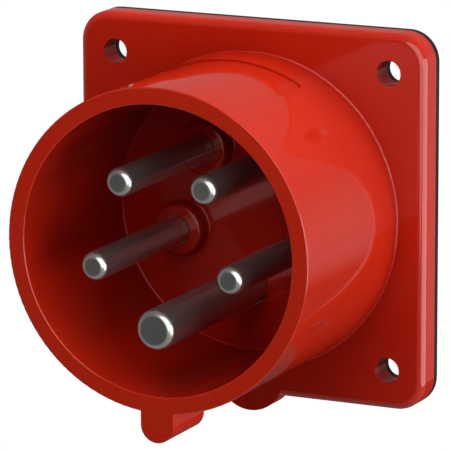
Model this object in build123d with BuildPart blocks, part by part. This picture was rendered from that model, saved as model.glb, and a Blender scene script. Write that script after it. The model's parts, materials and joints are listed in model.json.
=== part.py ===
from build123d import *
import os
from math import cos, radians, sin, sqrt

# Panel mounting appliance inlet with five contact pins in a round collar.
# The inlet faces -Y and +Z is up. The plane Y = 0 is the panel's front surface, under the gasket,
# and the Y axis is the axis of the collar. A forward distance is measured from that plane to -Y.

# Flange and gasket
flange_width = 65.8
flange_thickness = 4.65
flange_corner_radius = 5.3
flange_edge_radius = 1.45
hole_spacing = 52.0
hole_diameter = 4.5
gasket_thickness = 1.35
gasket_clearance = 0.2
tab_radius = 6.3
tab_reach = 35.9

# Collar
collar_diameter = 55.6
collar_bore_diameter = 49.7
collar_length = 36.7
collar_foot_radius = 0.3
rim_edge_radius = 0.25
floor_rise = 0.3
floor_thickness = 3.2
floor_corner_radius = 0.4

# Keyway rib under the collar
key_width = 6.0
key_reach = 32.9
key_length = 12.0

# Marking field on top of the collar
field_half_angle = 29.6
field_depth = 0.35
field_back = 7.8
field_length = 22.0
field_corner_radius = 1.2

# Contacts
contact_circle_diameter = 26.5
phase_pin_diameter = 5.0
earth_pin_diameter = 7.0
phase_pin_setback = 1.45
earth_pin_lead = 1.0
pin_tip_radius = 1.2
pin_root_step = 0.25
pin_neck_step = 0.25
pin_neck_length = 1.0
pin_hole_clearance = 0.1

# Bosses round the four live contacts
boss_diameter = 9.5
boss_height = 3.0
boss_edge_radius = 0.8
boss_foot_radius = 0.4

# Sleeve and screw posts behind the panel
sleeve_diameter = 47.0
sleeve_wall = 2.1
sleeve_length = 10.0
sleeve_root_step = 0.25
post_diameter = 6.4
post_circle_diameter = 36.0
post_angle = 18.0
post_rib_thickness = 1.8
post_shortfall = 0.1
pilot_hole_depth = 12.0

# Contact carrier
carrier_clearance = 0.25
carrier_depth = 27.0
carrier_wall = 2.5
tower_wall = 1.6
chamber_clearance = 0.15
hub_diameter = 7.0
web_thickness = 1.8

# Retaining plate
plate_thickness = 2.5
plate_edge_chamfer = 0.5
wire_entry_flare = 1.0

# Terminals
phase_barrel_diameter = 8.8
earth_barrel_diameter = 10.0
barrel_end_gap = 0.5
barrel_chamfer = 0.4
phase_wire_diameter = 4.0
earth_wire_diameter = 4.8
wire_bore_offset = 0.6
wire_bore_depth = 14.0
screw_setback = 7.0

# Wire guards
guard_thickness = 0.3
guard_width = 2.4
guard_length = 11.0
guard_lip = 2.6
guard_hook_gap = 0.15
guard_clearance = 0.05

# Terminal screws and insert screws
phase_screw_diameter = 3.3
earth_screw_diameter = 4.2
terminal_screw_length = 4.6
terminal_head_extra = 2.6
terminal_head_height = 1.7
slot_width = 0.9
slot_depth = 0.9
screw_window_clearance = 0.35
thread_clearance = 0.05
insert_screw_diameter = 2.7
insert_screw_length = 12.0
insert_head_diameter = 5.8
insert_head_height = 2.2
cross_width = 0.8
cross_length = 3.4
cross_depth = 1.2

# Forward distances worked out from the sizes above
flange_back = gasket_thickness
flange_front = flange_back + flange_thickness
rim_front = flange_front + collar_length
floor_front = flange_front + floor_rise
floor_back = floor_front - floor_thickness
boss_front = floor_front + boss_height
phase_tip = rim_front - phase_pin_setback
earth_tip = rim_front + earth_pin_lead
sleeve_end = -sleeve_length
carrier_disc_back = floor_back - carrier_wall
carrier_back = floor_back - carrier_depth
post_end = carrier_back + post_shortfall
barrel_back = carrier_back + barrel_end_gap
screw_level = barrel_back + screw_setback
plate_back = carrier_back - plate_thickness

# Radii that several pieces share
collar_radius = collar_diameter / 2
bore_radius = collar_bore_diameter / 2
sleeve_radius = sleeve_diameter / 2
sleeve_bore_radius = sleeve_radius - sleeve_wall
carrier_radius = sleeve_bore_radius - carrier_clearance
contact_circle_radius = contact_circle_diameter / 2
post_circle_radius = post_circle_diameter / 2

earth_angle = -90.0
contact_step = 72.0
names_by_step = ["earth", "line_1", "line_2", "line_3", "neutral"]
contact_angles = {name: earth_angle + contact_step * step for step, name in enumerate(names_by_step)}
live_names = names_by_step[1:]
post_angles = [post_angle, 180.0 - post_angle]

# Helpers of the build: how far cuts run past a face, and how close a radius counts as the same
overcut = 1.0
radius_match = 0.01


def plane_at(forward):
    """Plane across the axis, seen from the front: local X is +X and local Y is +Z."""
    return Plane.XZ.offset(forward)


def polar(radius, angle):
    """Point in a plane across the axis."""
    return (radius * cos(radians(angle)), radius * sin(radians(angle)))


def contact_centre(name):
    return polar(contact_circle_radius, contact_angles[name])


def contact_plane(name):
    """Plane through a contact's axis: local X points outwards and local Y forwards."""
    angle = radians(contact_angles[name])
    x, z = contact_centre(name)
    return Plane(origin=(x, 0, z), x_dir=(cos(angle), 0, sin(angle)), z_dir=(sin(angle), 0, -cos(angle)))


def contact_axis(name):
    x, z = contact_centre(name)
    return Axis((x, 0, z), (0, -1, 0))


def screw_plane(name, outwards):
    """Plane across a terminal screw, which points outwards from its contact's axis."""
    angle = radians(contact_angles[name])
    reach = contact_circle_radius + outwards
    return Plane(
        origin=(reach * cos(angle), -screw_level, reach * sin(angle)),
        x_dir=(0, -1, 0),
        z_dir=(cos(angle), 0, sin(angle)),
    )


def pin_radius(name):
    return (earth_pin_diameter if name == "earth" else phase_pin_diameter) / 2


def root_radius(name):
    """Radius of the stretch inside the housing, slightly thicker than the free pin."""
    return pin_radius(name) + pin_root_step


def neck_radius(name):
    """Radius of the short neck between the root and the free pin."""
    return pin_radius(name) - pin_neck_step


def contact_face(name):
    """The floor or boss face in the collar that the free pin starts from."""
    return floor_front if name == "earth" else boss_front


def root_front(name):
    return contact_face(name) - pin_neck_length


def pin_tip(name):
    return earth_tip if name == "earth" else phase_tip


def barrel_radius(name):
    return (earth_barrel_diameter if name == "earth" else phase_barrel_diameter) / 2


def wire_radius(name):
    return (earth_wire_diameter if name == "earth" else phase_wire_diameter) / 2


def chamber_radius(name):
    return barrel_radius(name) + chamber_clearance


def tower_radius(name):
    return chamber_radius(name) + tower_wall


def terminal_screw_radius(name):
    return (earth_screw_diameter if name == "earth" else phase_screw_diameter) / 2


def terminal_head_radius(name):
    return terminal_screw_radius(name) + terminal_head_extra / 2


def guard_face(name):
    """Distance outwards from the contact's axis to the face that the screw presses on."""
    bore = wire_radius(name) - guard_clearance
    return sqrt(bore ** 2 - (guard_width / 2) ** 2) - wire_bore_offset


def edges_of_radius(part, radius):
    """Circular edges of one radius, from the front to the back."""
    circles = part.edges().filter_by(GeomType.CIRCLE)
    return circles.filter_by(lambda edge: abs(edge.radius - radius) < radius_match).sort_by(Axis.Y)


os.makedirs("parts", exist_ok=True)

# Tapered field in the collar's top: deepest at the back, it runs out towards the rim
with BuildPart() as marking_field:
    with BuildSketch(Plane.YZ):
        with BuildLine():
            Polyline(
                (-(flange_front + field_back), collar_radius - field_depth),
                (-(flange_front + field_back), collar_radius + overcut),
                (-(flange_front + field_back + field_length), collar_radius + overcut),
                (-(flange_front + field_back + field_length), collar_radius),
                close=True,
            )
        make_face()
    revolve(axis=Axis.Y, revolution_arc=field_half_angle)
    mirror(about=Plane.YZ)
    corner_edges = marking_field.edges().group_by(Axis.Y)[-1].filter_by(GeomType.LINE)
    fillet(corner_edges, field_corner_radius)

# Housing: flange, collar, floor with bosses, keyway rib, sleeve and screw posts in one moulding
with BuildPart() as housing:
    with BuildSketch(plane_at(flange_back)):
        RectangleRounded(flange_width, flange_width, flange_corner_radius)
    extrude(amount=flange_thickness)
    fillet(housing.faces().sort_by(Axis.Y)[0].edges(), flange_edge_radius)

    # Half-round tab under the flange
    with BuildSketch(plane_at(flange_back)):
        with Locations((0, tab_radius - tab_reach)):
            Circle(tab_radius)
    extrude(amount=flange_thickness)

    # Collar with a small fillet at its foot and rounded rim
    with BuildSketch(plane_at(flange_front)):
        Circle(collar_radius)
    extrude(amount=collar_length)
    fillet(housing.faces().sort_by(Axis.Y)[0].edges(), rim_edge_radius)
    fillet(edges_of_radius(housing, collar_radius)[-1], collar_foot_radius)

    # Keyway rib, flush with the rim and rounded below
    key_radius = key_width / 2
    key_root = (collar_radius + bore_radius) / 2
    with BuildSketch(plane_at(rim_front)):
        with BuildLine():
            Line((-key_radius, -key_root), (-key_radius, key_radius - key_reach))
            ThreePointArc(
                (-key_radius, key_radius - key_reach),
                (0, -key_reach),
                (key_radius, key_radius - key_reach),
            )
            Line((key_radius, key_radius - key_reach), (key_radius, -key_root))
            Line((key_radius, -key_root), (-key_radius, -key_root))
        make_face()
    extrude(amount=-key_length)

    # Room inside the collar
    with BuildSketch(plane_at(rim_front)):
        Circle(bore_radius)
    extrude(amount=floor_front - rim_front, mode=Mode.SUBTRACT)
    bore_edges = edges_of_radius(housing, bore_radius)
    fillet(bore_edges[0], rim_edge_radius)
    fillet(bore_edges[-1], floor_corner_radius)

    # Bosses round the live contacts
    with BuildSketch(plane_at(floor_front)):
        with Locations(*[contact_centre(name) for name in live_names]):
            Circle(boss_diameter / 2)
    extrude(amount=boss_height)
    boss_edges = edges_of_radius(housing, boss_diameter / 2)
    fillet(boss_edges.group_by(Axis.Y)[0], boss_edge_radius)
    fillet(boss_edges.group_by(Axis.Y)[-1], boss_foot_radius)

    # Sleeve through the panel, open at the back, with a ring at its root that centres the gasket
    with BuildSketch(plane_at(flange_back)):
        Circle(sleeve_radius + sleeve_root_step)
    extrude(amount=-gasket_thickness)
    with BuildSketch(plane_at(flange_back)):
        Circle(sleeve_radius)
    extrude(amount=sleeve_end - flange_back)
    with BuildSketch(plane_at(floor_back)):
        Circle(sleeve_bore_radius)
    extrude(amount=sleeve_end - floor_back, mode=Mode.SUBTRACT)

    # Screw posts, each with a rib to the sleeve
    with BuildSketch(plane_at(floor_back)):
        with Locations(*[polar(post_circle_radius, angle) for angle in post_angles]):
            Circle(post_diameter / 2)
    extrude(amount=post_end - floor_back)
    rib_length = sleeve_bore_radius - post_circle_radius + sleeve_wall / 2
    with BuildSketch(plane_at(floor_back)):
        with PolarLocations(post_circle_radius + rib_length / 2, 2, post_angle, 360 - 4 * post_angle):
            Rectangle(rib_length, post_rib_thickness)
    extrude(amount=sleeve_end - floor_back)

    # Pilot holes, contact holes and panel screw holes
    with BuildSketch(plane_at(post_end)):
        with Locations(*[polar(post_circle_radius, angle) for angle in post_angles]):
            Circle(insert_screw_diameter / 2 + thread_clearance)
    extrude(amount=pilot_hole_depth, mode=Mode.SUBTRACT)
    for name in names_by_step:
        with BuildSketch(plane_at(contact_face(name))):
            with Locations(contact_centre(name)):
                Circle(pin_radius(name) + pin_hole_clearance)
        extrude(amount=-pin_neck_length, mode=Mode.SUBTRACT)
        root_hole_front = root_front(name) + pin_hole_clearance
        with BuildSketch(plane_at(root_hole_front)):
            with Locations(contact_centre(name)):
                Circle(root_radius(name) + pin_hole_clearance)
        extrude(amount=floor_back - root_hole_front, mode=Mode.SUBTRACT)
    with BuildSketch(plane_at(flange_front)):
        with GridLocations(hole_spacing, hole_spacing, 2, 2):
            Circle(hole_diameter / 2)
    extrude(amount=-flange_thickness, mode=Mode.SUBTRACT)
    add(marking_field.part, mode=Mode.SUBTRACT)
housing.part.label = "housing"
export_step(housing.part, "parts/housing.step")

# Gasket between flange and panel
with BuildPart() as flange_gasket:
    with BuildSketch(plane_at(0)):
        RectangleRounded(flange_width, flange_width, flange_corner_radius)
        Circle(sleeve_radius + sleeve_root_step + gasket_clearance, mode=Mode.SUBTRACT)
        with GridLocations(hole_spacing, hole_spacing, 2, 2):
            Circle(hole_diameter / 2, mode=Mode.SUBTRACT)
    extrude(amount=gasket_thickness)
flange_gasket.part.label = "flange_gasket"
export_step(flange_gasket.part, "parts/flange_gasket.step")

# Contact carrier: a disc with a tower for each contact's rear end, a hub and webs
with BuildPart() as contact_carrier:
    with BuildSketch(plane_at(floor_back)):
        Circle(carrier_radius)
    extrude(amount=-carrier_wall)
    with BuildSketch(plane_at(carrier_disc_back)):
        Circle(hub_diameter / 2)
        for name in names_by_step:
            with Locations(contact_centre(name)):
                Circle(tower_radius(name))
        with PolarLocations(contact_circle_radius / 2, len(names_by_step), earth_angle):
            Rectangle(contact_circle_radius, web_thickness)
    extrude(amount=carrier_back - carrier_disc_back)

    # Chambers, open at the back, and the pins' holes in the front wall
    for name in names_by_step:
        with BuildSketch(plane_at(carrier_back)):
            with Locations(contact_centre(name)):
                Circle(chamber_radius(name))
        extrude(amount=carrier_disc_back - carrier_back, mode=Mode.SUBTRACT)
        with BuildSketch(plane_at(carrier_disc_back)):
            with Locations(contact_centre(name)):
                Circle(root_radius(name) + pin_hole_clearance)
        extrude(amount=carrier_wall, mode=Mode.SUBTRACT)

    # Slots that let the terminal screws pass from the back
    for name in names_by_step:
        window_radius = terminal_head_radius(name) + screw_window_clearance
        with BuildSketch(screw_plane(name, 0)):
            Circle(window_radius)
            slot_run = screw_level - carrier_back
            with Locations((-slot_run / 2, 0)):
                Rectangle(slot_run, 2 * window_radius)
        extrude(amount=tower_radius(name) + overcut, mode=Mode.SUBTRACT)

    # Notches round the screw posts, open to the edge
    notch_radius = post_diameter / 2 + carrier_clearance
    with BuildSketch(plane_at(floor_back)):
        with Locations(*[polar(post_circle_radius, angle) for angle in post_angles]):
            Circle(notch_radius)
        with PolarLocations(post_circle_radius + notch_radius / 2, 2, post_angle, 360 - 4 * post_angle):
            Rectangle(notch_radius + overcut, 2 * notch_radius)
    extrude(amount=-carrier_wall, mode=Mode.SUBTRACT)
contact_carrier.part.label = "contact_carrier"
export_step(contact_carrier.part, "parts/contact_carrier.step")

# Retaining plate with flared wire entries, held by the two insert screws
with BuildPart() as retaining_plate:
    with BuildSketch(plane_at(plate_back)):
        Circle(carrier_radius)
    extrude(amount=plate_thickness)
    chamfer(retaining_plate.faces().sort_by(Axis.Y)[-1].edges(), plate_edge_chamfer)
    for name in names_by_step:
        entry_centre = polar(contact_circle_radius - wire_bore_offset, contact_angles[name])
        with BuildSketch(plane_at(plate_back)):
            with Locations(entry_centre):
                Circle(wire_radius(name))
        extrude(amount=plate_thickness, mode=Mode.SUBTRACT)
        back_edges = retaining_plate.faces().sort_by(Axis.Y)[-1].edges()
        entry_edge = back_edges.sort_by_distance((entry_centre[0], -plate_back, entry_centre[1]))[0]
        chamfer(entry_edge, wire_entry_flare)
    with BuildSketch(plane_at(plate_back)):
        with Locations(*[polar(post_circle_radius, angle) for angle in post_angles]):
            Circle(insert_screw_diameter / 2 + thread_clearance)
    extrude(amount=plate_thickness, mode=Mode.SUBTRACT)
retaining_plate.part.label = "retaining_plate"
export_step(retaining_plate.part, "parts/retaining_plate.step")

# Contact pins with their terminal barrels, each turned in one piece
for name in names_by_step:
    with BuildPart() as contact_pin:
        with BuildSketch(contact_plane(name)):
            with BuildLine():
                tip_start = (pin_radius(name), pin_tip(name) - pin_tip_radius)
                tip_end = (pin_radius(name) - pin_tip_radius, pin_tip(name))
                Polyline(
                    tip_end,
                    (0, pin_tip(name)),
                    (0, barrel_back),
                    (barrel_radius(name) - barrel_chamfer, barrel_back),
                    (barrel_radius(name), barrel_back + barrel_chamfer),
                    (barrel_radius(name), carrier_disc_back - barrel_chamfer),
                    (barrel_radius(name) - barrel_chamfer, carrier_disc_back),
                    (root_radius(name), carrier_disc_back),
                    (root_radius(name), root_front(name)),
                    (neck_radius(name), root_front(name)),
                    (neck_radius(name), contact_face(name)),
                    (pin_radius(name), contact_face(name)),
                    tip_start,
                )
                RadiusArc(tip_start, tip_end, -pin_tip_radius)
            make_face()
        revolve(axis=contact_axis(name))

        # Wire bore from the back, set inwards to leave more wall for the screw's thread
        with BuildSketch(plane_at(barrel_back)):
            with Locations(polar(contact_circle_radius - wire_bore_offset, contact_angles[name])):
                Circle(wire_radius(name))
        extrude(amount=wire_bore_depth, mode=Mode.SUBTRACT)
        with BuildSketch(screw_plane(name, 0)):
            Circle(terminal_screw_radius(name) + thread_clearance)
        extrude(amount=barrel_radius(name) + overcut, mode=Mode.SUBTRACT)
    contact_pin.part.label = f"contact_pin_{name}"
    export_step(contact_pin.part, f"parts/contact_pin_{name}.step")

# Wire guards: steel leaves along the bores, hooked over the barrels' ends
for name in names_by_step:
    with BuildPart() as wire_guard:
        guard_back = barrel_back - guard_hook_gap - guard_thickness
        with BuildSketch(contact_plane(name)):
            outer_face = guard_face(name)
            with BuildLine():
                FilletPolyline(
                    (outer_face, guard_back + guard_length),
                    (outer_face, guard_back + guard_thickness),
                    (outer_face + guard_lip, guard_back + guard_thickness),
                    radius=guard_thickness,
                )
                offset(amount=guard_thickness, side=Side.RIGHT)
            make_face()
        extrude(amount=guard_width / 2, both=True)
    wire_guard.part.label = f"wire_guard_{name}"
    export_step(wire_guard.part, f"parts/wire_guard_{name}.step")


def terminal_screw(name):
    """Slotted cheese-head screw that points inwards, its tip on the wire guard."""
    tip = guard_face(name) + guard_clearance
    head_seat = tip + terminal_screw_length
    with BuildPart() as screw:
        with BuildSketch(screw_plane(name, tip)):
            Circle(terminal_screw_radius(name))
        extrude(amount=terminal_screw_length)
        with BuildSketch(screw_plane(name, head_seat)):
            Circle(terminal_head_radius(name))
        extrude(amount=terminal_head_height)
        with BuildSketch(screw_plane(name, head_seat + terminal_head_height)):
            Rectangle(slot_width, 2 * terminal_head_radius(name) + overcut)
        extrude(amount=-slot_depth, mode=Mode.SUBTRACT)
    return screw.part


live_terminal_screws = [terminal_screw(name) for name in live_names]
with BuildPart() as terminal_screws:
    add(live_terminal_screws)
terminal_screws.part.label = "terminal_screws"
export_step(terminal_screws.part, "parts/terminal_screws.step")

single_terminal_screw = terminal_screw("earth")
with BuildPart() as earth_terminal_screw:
    add(single_terminal_screw)
earth_terminal_screw.part.label = "earth_terminal_screw"
export_step(earth_terminal_screw.part, "parts/earth_terminal_screw.step")

# Insert screws: pan heads with a cross recess, behind the retaining plate
with BuildPart() as insert_screws:
    for angle in post_angles:
        with BuildSketch(plane_at(plate_back)):
            with Locations(polar(post_circle_radius, angle)):
                Circle(insert_screw_diameter / 2)
        extrude(amount=insert_screw_length)
        with BuildSketch(plane_at(plate_back)):
            with Locations(polar(post_circle_radius, angle)):
                Circle(insert_head_diameter / 2)
        extrude(amount=-insert_head_height)
    head_rims = insert_screws.faces().group_by(Axis.Y)[-1].edges()
    fillet(head_rims, insert_head_height / 2)
    with BuildSketch(plane_at(plate_back - insert_head_height)):
        with Locations(*[polar(post_circle_radius, angle) for angle in post_angles]):
            Rectangle(cross_width, cross_length)
            Rectangle(cross_length, cross_width)
    extrude(amount=cross_depth, mode=Mode.SUBTRACT)
insert_screws.part.label = "insert_screws"
export_step(insert_screws.part, "parts/insert_screws.step")
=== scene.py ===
import json
from math import cos, pi, sin

import bpy
from mathutils import Matrix, Vector

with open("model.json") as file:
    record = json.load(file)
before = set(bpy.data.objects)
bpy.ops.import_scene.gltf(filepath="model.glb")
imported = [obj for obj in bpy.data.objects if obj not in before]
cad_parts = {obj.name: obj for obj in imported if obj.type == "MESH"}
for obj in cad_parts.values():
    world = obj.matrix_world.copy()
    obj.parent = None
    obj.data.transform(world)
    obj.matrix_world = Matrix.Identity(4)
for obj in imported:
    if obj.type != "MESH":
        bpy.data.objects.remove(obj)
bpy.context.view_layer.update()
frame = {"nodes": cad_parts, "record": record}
nodes = frame["nodes"]

scene = bpy.context.scene
scene.view_settings.view_transform = "Standard"

# Spans of a noise's value over which the materials change
most_of_noise = (0.3, 0.7)
wider_noise = (0.25, 0.75)
upper_noise = (0.35, 0.75)


# Helpers that add nodes to a material or to the world

def add_node(tree, kind, **inputs):
    node = tree.nodes.new(kind)
    for key, value in inputs.items():
        node.inputs[key.replace("_", " ")].default_value = value
    return node


def maths(tree, operation, first, second):
    node = tree.nodes.new("ShaderNodeMath")
    node.operation = operation
    tree.links.new(first, node.inputs[0])
    tree.links.new(second, node.inputs[1])
    return node.outputs[0]


def larger(tree, first, second):
    return maths(tree, "MAXIMUM", first, second)


def times(tree, first, second):
    return maths(tree, "MULTIPLY", first, second)


def ramp(tree, value, span, result):
    """The result's first number where the value is at the span's start, its second at the span's end."""
    node = add_node(tree, "ShaderNodeMapRange", From_Min=span[0], From_Max=span[1],
                    To_Min=result[0], To_Max=result[1])
    tree.links.new(value, node.inputs["Value"])
    return node.outputs["Result"]


def along(tree, coords, direction):
    """How far a vector points in a direction: 1 for the same direction, where both have length 1."""
    node = tree.nodes.new("ShaderNodeVectorMath")
    node.operation = "DOT_PRODUCT"
    node.inputs[1].default_value = direction
    tree.links.new(coords, node.inputs[0])
    return node.outputs["Value"]


def noise(tree, coords, scale, detail=3.0, roughness=0.5, distortion=0.0):
    node = add_node(tree, "ShaderNodeTexNoise", Scale=scale, Detail=detail, Roughness=roughness,
                    Distortion=distortion)
    tree.links.new(coords, node.inputs["Vector"])
    return node.outputs["Fac"]


def colour_mix(tree, factor, first, second):
    node = tree.nodes.new("ShaderNodeMix")
    node.data_type = "RGBA"
    tree.links.new(factor, node.inputs["Factor"])
    # sockets 6 and 7 are the two colours, and output 2 is their mix
    for socket, colour in ((node.inputs[6], first), (node.inputs[7], second)):
        if isinstance(colour, tuple):
            socket.default_value = (*colour, 1.0)
        else:
            tree.links.new(colour, socket)
    return node.outputs[2]


def bump(tree, height, strength, distance, below=None):
    node = add_node(tree, "ShaderNodeBump", Strength=strength, Distance=distance)
    tree.links.new(height, node.inputs["Height"])
    if below is not None:
        tree.links.new(below, node.inputs["Normal"])
    return node.outputs["Normal"]


def object_coords(tree):
    return tree.nodes.new("ShaderNodeTexCoord").outputs["Object"]


def stretched(tree, coords, scale):
    node = add_node(tree, "ShaderNodeMapping", Scale=scale)
    tree.links.new(coords, node.inputs["Vector"])
    return node.outputs["Vector"]


def new_material(name):
    material = bpy.data.materials.new(name)
    material.use_nodes = True
    tree = material.node_tree
    return material, tree, tree.nodes["Principled BSDF"]


def connect(tree, shader, tone, roughness, normal):
    tree.links.new(tone, shader.inputs["Base Color"])
    tree.links.new(roughness, shader.inputs["Roughness"])
    tree.links.new(normal, shader.inputs["Normal"])


# Materials, with linear colours and with the height of the bumps in metres

def red_plastic():
    """Glossy red with painted shade: darker, and mirroring less, where the part encloses it."""
    deep_red = (0.575, 0.0205, 0.0055)
    pale_red = (0.625, 0.0240, 0.0065)
    flow_red = (0.60, 0.0215, 0.0057)
    painted_shade_red = (0.34, 0.0040, 0.0006)
    material, tree, shader = new_material("glossy_red_polyamide")
    coords = object_coords(tree)
    cloud = noise(tree, coords, scale=45.0, detail=4.0, roughness=0.6)
    fine = noise(tree, coords, scale=900.0)
    flow = noise(tree, stretched(tree, coords, (60.0, 16.0, 60.0)), scale=1.0, distortion=0.6)
    tone = colour_mix(tree, ramp(tree, cloud, most_of_noise, (0.0, 1.0)), deep_red, pale_red)
    tone = colour_mix(tree, ramp(tree, flow, upper_noise, (0.0, 0.35)), tone, flow_red)
    # ambient occlusion: 1 in the open, and less where something stands within the distance; it drives
    # the painted shade below
    occlusion = add_node(tree, "ShaderNodeAmbientOcclusion", Distance=0.03)
    occlusion.samples = 12
    openness = occlusion.outputs["AO"]
    # painted shade: the tone goes towards a dark red where the ambient occlusion is low
    tone = colour_mix(tree, ramp(tree, openness, (0.10, 0.95), (0.0, 1.0)), painted_shade_red, tone)
    # painted shade of reflections: the specular level is lower where the ambient occlusion is low
    tree.links.new(ramp(tree, openness, (0.50, 1.0), (0.16, 0.5)), shader.inputs["Specular IOR Level"])
    shader.inputs["IOR"].default_value = 1.52
    waves = bump(tree, noise(tree, coords, scale=260.0, detail=2.0), 0.08, 0.00002)
    skin = bump(tree, noise(tree, coords, scale=2600.0, detail=2.0), 0.10, 0.000004, below=waves)
    connect(tree, shader, tone, ramp(tree, fine, most_of_noise, (0.055, 0.085)), skin)
    return material


def black_rubber():
    material, tree, shader = new_material("gasket_rubber")
    coords = object_coords(tree)
    cloud = noise(tree, coords, scale=180.0, detail=5.0, roughness=0.65)
    grain = noise(tree, coords, scale=2400.0)
    tone = colour_mix(tree, cloud, (0.0065, 0.0085, 0.0095), (0.013, 0.014, 0.015))
    shader.inputs["Specular IOR Level"].default_value = 0.2
    connect(tree, shader, tone, ramp(tree, cloud, most_of_noise, (0.60, 0.75)),
            bump(tree, grain, 0.35, 0.00003))
    return material


def black_plastic():
    material, tree, shader = new_material("moulded_black_polyamide")
    coords = object_coords(tree)
    cloud = noise(tree, coords, scale=70.0, detail=4.0, roughness=0.6)
    grain = noise(tree, coords, scale=3200.0, detail=4.0, roughness=0.6)
    tone = colour_mix(tree, cloud, (0.024, 0.024, 0.026), (0.036, 0.036, 0.038))
    connect(tree, shader, tone, ramp(tree, grain, most_of_noise, (0.38, 0.52)),
            bump(tree, grain, 0.3, 0.00002))
    return material


def turned_metal():
    """Nickel-plated brass with fine turning lines round the pins, which lie along Y."""
    material, tree, shader = new_material("nickel_plated_brass")
    coords = object_coords(tree)
    shader.inputs["Metallic"].default_value = 0.88
    cloud = noise(tree, coords, scale=160.0, detail=5.0, roughness=0.6)
    lines = noise(tree, stretched(tree, coords, (120.0, 5200.0, 120.0)), scale=1.0)
    tone = colour_mix(tree, cloud, (0.45, 0.44, 0.425), (0.53, 0.52, 0.505))
    connect(tree, shader, tone, ramp(tree, lines, wider_noise, (0.19, 0.27)),
            bump(tree, lines, 0.10, 0.00001))
    return material


def zinc_steel():
    material, tree, shader = new_material("zinc_plated_steel")
    coords = object_coords(tree)
    shader.inputs["Metallic"].default_value = 1.0
    cloud = noise(tree, coords, scale=420.0, detail=5.0, roughness=0.65)
    grain = noise(tree, coords, scale=3000.0)
    tone = colour_mix(tree, cloud, (0.58, 0.59, 0.61), (0.70, 0.71, 0.72))
    connect(tree, shader, tone, ramp(tree, cloud, most_of_noise, (0.26, 0.40)),
            bump(tree, grain, 0.15, 0.00001))
    return material


def spring_steel():
    """Bright strip, rolled along Y."""
    material, tree, shader = new_material("bright_spring_steel")
    coords = object_coords(tree)
    shader.inputs["Metallic"].default_value = 1.0
    grain = noise(tree, stretched(tree, coords, (2600.0, 90.0, 2600.0)), scale=1.0)
    tone = colour_mix(tree, grain, (0.48, 0.48, 0.49), (0.60, 0.60, 0.61))
    connect(tree, shader, tone, ramp(tree, grain, most_of_noise, (0.24, 0.36)),
            bump(tree, grain, 0.12, 0.00001))
    return material


finishes = {
    "red_plastic": red_plastic(),
    "black_rubber": black_rubber(),
    "black_plastic": black_plastic(),
    "nickel_brass": turned_metal(),
    "zinc_steel": zinc_steel(),
    "spring_steel": spring_steel(),
}
for subpart in frame["record"]["subparts"]:
    piece = nodes[subpart["node"]]
    if not piece.material_slots:
        piece.data.materials.append(None)
    for slot in piece.material_slots:
        slot.material = finishes[subpart["material_slot"]]

# Camera at the photograph's place, angle and focal length, as solved from its perspective
eye = Vector((0.320364, -0.68511, 0.162267))
yaw, pitch, roll = -0.44655, -0.21624, -0.0026
focal_length, sensor_width = 354.15, 36.0
nearest_seen, farthest_seen = 0.05, 50.0
forward = Vector((sin(yaw) * cos(pitch), cos(yaw) * cos(pitch), sin(pitch)))
right = forward.cross(Vector((0.0, 0.0, 1.0))).normalized()
up = right.cross(forward)
rolled_right = cos(roll) * right + sin(roll) * up
rolled_up = cos(roll) * up - sin(roll) * right
axes = Matrix((rolled_right, rolled_up, -forward)).transposed()
camera_data = bpy.data.cameras.new("photo_camera")
camera_data.sensor_width = sensor_width
camera_data.lens = focal_length
camera_data.clip_start = nearest_seen
camera_data.clip_end = farthest_seen
camera = bpy.data.objects.new("photo_camera", camera_data)
camera.matrix_world = Matrix.Translation(eye) @ axes.to_4x4()
scene.collection.objects.link(camera)
scene.camera = camera

# Floor well below the part, which hangs free of its panel
half_floor = 20.0
floor_level = -0.50
floor_corners = [(x * half_floor, y * half_floor, floor_level)
                 for x, y in ((-1, -1), (1, -1), (1, 1), (-1, 1))]
floor_mesh = bpy.data.meshes.new("floor")
floor_mesh.from_pydata(floor_corners, [], [(0, 1, 2, 3)])
floor = bpy.data.objects.new("floor", floor_mesh)
scene.collection.objects.link(floor)

# Studio: directions from the part, and the brightness of the floor and walls there, where 1 is white
seen_past_part = (-0.422, 0.881, -0.2145)
mirrored_by_flange = (-0.41, -0.89, -0.21)
general_level, right_level = 0.30, 0.50
dim_front_share = 0.065
low_behind_share = 0.05
upper_share = 0.65
back_light_level = 0.62
floor_colour = (0.06, 0.06, 0.06, 1.0)
white = (1.0, 1.0, 1.0, 1.0)


def seen_or_mirrored(tree):
    """1 for the rays that show the studio itself: straight, mirrored, or through something clear."""
    path = tree.nodes.new("ShaderNodeLightPath")
    straight = larger(tree, path.outputs["Is Camera Ray"], path.outputs["Is Transmission Ray"])
    return larger(tree, straight, path.outputs["Is Glossy Ray"])


def studio_level(tree, heading):
    """Brightness of the studio in each direction from the part, for the floor and the walls alike."""
    parts = tree.nodes.new("ShaderNodeSeparateXYZ")
    tree.links.new(heading, parts.inputs[0])
    across, back, height = (parts.outputs[axis] for axis in "XYZ")
    level = ramp(tree, across, (0.40, 0.95), (general_level, right_level))
    # darker in front on the left, which the flange's face and the pins' ends mirror
    towards_front_left = along(tree, heading, mirrored_by_flange)
    level = times(tree, level, ramp(tree, towards_front_left, (0.88, 0.975), (1.0, dim_front_share)))
    # darker low down behind, which the collar's lower side mirrors, though not on the left
    left_or_not_behind = larger(tree, ramp(tree, across, (-0.42, -0.33), (1.0, 0.0)),
                                ramp(tree, back, (0.5, 0.75), (1.0, 0.0)))
    low_behind = ramp(tree, height, (-0.34, -0.24), (low_behind_share, 1.0))
    level = times(tree, level, larger(tree, low_behind, left_or_not_behind))
    # somewhat darker above
    level = times(tree, level, ramp(tree, height, (0.0, 0.2), (1.0, upper_share)))
    # white where the photograph looks past the part
    past_part = ramp(tree, along(tree, heading, seen_past_part), (0.989, 0.994), (0.0, 1.0))
    return larger(tree, level, past_part)


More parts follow.
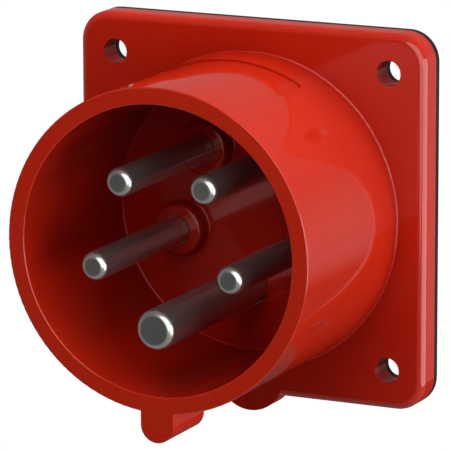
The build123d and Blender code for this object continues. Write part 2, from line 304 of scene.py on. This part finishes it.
# Floor that glows as the walls do where it is seen or mirrored, and takes light and shadow like paper
floor_material = bpy.data.materials.new("pale_floor")
floor_material.use_nodes = True
tree = floor_material.node_tree
tree.nodes.clear()
outward = tree.nodes.new("ShaderNodeVectorMath")
outward.operation = "NORMALIZE"
tree.links.new(object_coords(tree), outward.inputs[0])
paper = add_node(tree, "ShaderNodeBsdfDiffuse", Color=floor_colour)
glow = add_node(tree, "ShaderNodeEmission", Color=white)
glow_level = times(tree, studio_level(tree, outward.outputs["Vector"]), seen_or_mirrored(tree))
tree.links.new(glow_level, glow.inputs["Strength"])
lit = tree.nodes.new("ShaderNodeAddShader")
tree.links.new(paper.outputs[0], lit.inputs[0])
tree.links.new(glow.outputs[0], lit.inputs[1])
output = tree.nodes.new("ShaderNodeOutputMaterial")
tree.links.new(lit.outputs[0], output.inputs["Surface"])
floor_mesh.materials.append(floor_material)

# Studio walls, seen and mirrored alike; for all other rays a soft light from behind the part
world = bpy.data.worlds.new("studio")
world.use_nodes = True
scene.world = world
tree = world.node_tree
background = tree.nodes["Background"]
background.inputs["Color"].default_value = white
heading = tree.nodes.new("ShaderNodeTexCoord").outputs["Generated"]
behind = along(tree, heading, (0.0, 1.0, 0.0))
# inputs 0, 2 and 3 are the factor and the two values that it goes between
room = tree.nodes.new("ShaderNodeMix")
tree.links.new(seen_or_mirrored(tree), room.inputs[0])
tree.links.new(ramp(tree, behind, (-0.35, 0.25), (0.0, back_light_level)), room.inputs[2])
tree.links.new(studio_level(tree, heading), room.inputs[3])
tree.links.new(room.outputs[0], background.inputs["Strength"])

# Lamps face a point in the collar
lamp_target = Vector((0.0, -0.02, 0.0))


def softbox(name, direction, distance, size, level, shape="RECTANGLE"):
    """Area lamp whose level is the brightness it gives to a white surface that faces it."""
    place = lamp_target + Vector(direction).normalized() * distance
    data = bpy.data.lights.new(name, "AREA")
    data.shape = shape
    data.size, data.size_y = size
    data.energy = level * pi * pi * distance ** 2
    lamp = bpy.data.objects.new(name, data)
    facing = (place - lamp_target).to_track_quat("Z", "Y").to_matrix().to_4x4()
    lamp.matrix_world = Matrix.Translation(place) @ facing
    scene.collection.objects.link(lamp)
    return lamp


# Lamps that light the surfaces but don't show in them
small, large = (0.3, 0.3), (0.6, 0.6)
near, far = 0.45, 0.8
for name, direction, distance, size, level in (
    ("front_softbox", (0.1, -1.0, 0.1), near, small, 0.075),
    ("front_top_softbox", (0.10, -0.8, 0.7), near, small, 0.44),
    ("top_softbox", (-0.20, 0.0, 0.97), far, large, 0.48),
    ("top_back_softbox", (0.1, 0.8, 0.6), far, large, 0.34),
):
    softbox(name, direction, distance, size, level).visible_glossy = False
# Lamp that does both, for the broad highlight on the collar's right
softbox("right_softbox", (1.0, -0.05, -0.12), far, (1.1, 0.56), level=0.98)
# Card that only shows in the surfaces, for the bright edges of the pins' tips
card = softbox("reflector_card", (0.45, -0.84, 0.30), far, (1.15, 0.95), level=1.05, shape="ELLIPSE")
card.visible_diffuse = False
